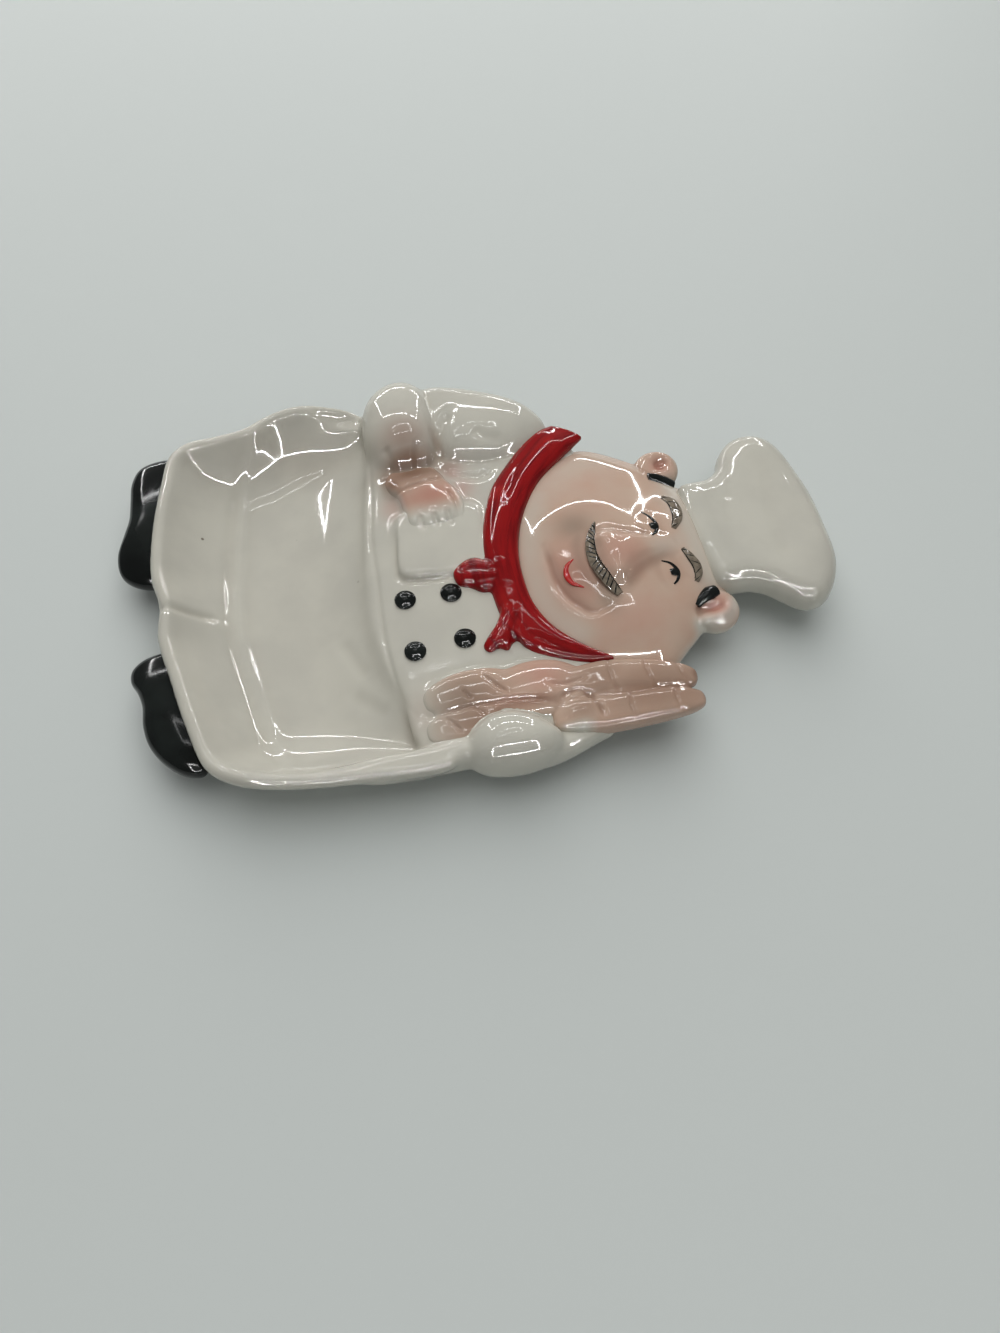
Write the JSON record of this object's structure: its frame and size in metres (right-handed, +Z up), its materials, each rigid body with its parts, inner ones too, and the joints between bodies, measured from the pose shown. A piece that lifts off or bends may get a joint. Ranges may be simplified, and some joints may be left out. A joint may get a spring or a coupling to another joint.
{
  "type": "spoon rest",
  "caption": "Glazed ceramic spoon rest shaped as a stout chef lying on their back, whose hollow belly is the bowl that a cooking spoon rests in.",
  "frame": {"origin": "middle of the plan, on the table", "axes": "+X from the shoes to the hat, +Y across towards the raised right hand, +Z up out of the bowl"},
  "size_m": [0.2298, 0.1582, 0.0311],
  "materials": {
    "white_glaze": "glossy clear glaze over cream-white earthenware",
    "bisque": "bare fired clay, matte",
    "black_glaze": "glossy black glaze",
    "skin_glaze": "airbrushed flesh colour under glossy glaze",
    "red_glaze": "brushed dark red under glossy glaze",
    "grey_glaze": "grey-brown brush strokes under glossy glaze"
  },
  "bodies": {
    "root": {"apron_dish": "white_glaze", "coat_front": "white_glaze", "foot_ring": "bisque", "right_shoe": "black_glaze", "left_shoe": "black_glaze", "right_upper_sleeve": "white_glaze", "right_fore_sleeve": "white_glaze", "right_fist": "skin_glaze", "napkin": "white_glaze", "left_sleeve": "white_glaze", "left_palm": "skin_glaze", "left_finger_1": "skin_glaze", "left_finger_2": "skin_glaze", "left_hand_lobe_1": "skin_glaze", "left_hand_lobe_2": "skin_glaze", "kerchief_band": "red_glaze", "kerchief_knot": "red_glaze", "kerchief_tail_right": "red_glaze", "kerchief_tail_left": "red_glaze", "head": "skin_glaze", "nose": "skin_glaze", "moustache_right": "grey_glaze", "moustache_left": "grey_glaze", "right_brow": "grey_glaze", "left_brow": "grey_glaze", "right_ear": "skin_glaze", "left_ear": "skin_glaze", "right_sideburn": "black_glaze", "left_sideburn": "black_glaze", "hat_band": "white_glaze", "hat_crown": "white_glaze", "coat_button_1": "black_glaze", "coat_button_2": "black_glaze", "coat_button_3": "black_glaze", "coat_button_4": "black_glaze"}
  },
  "joints": []
}
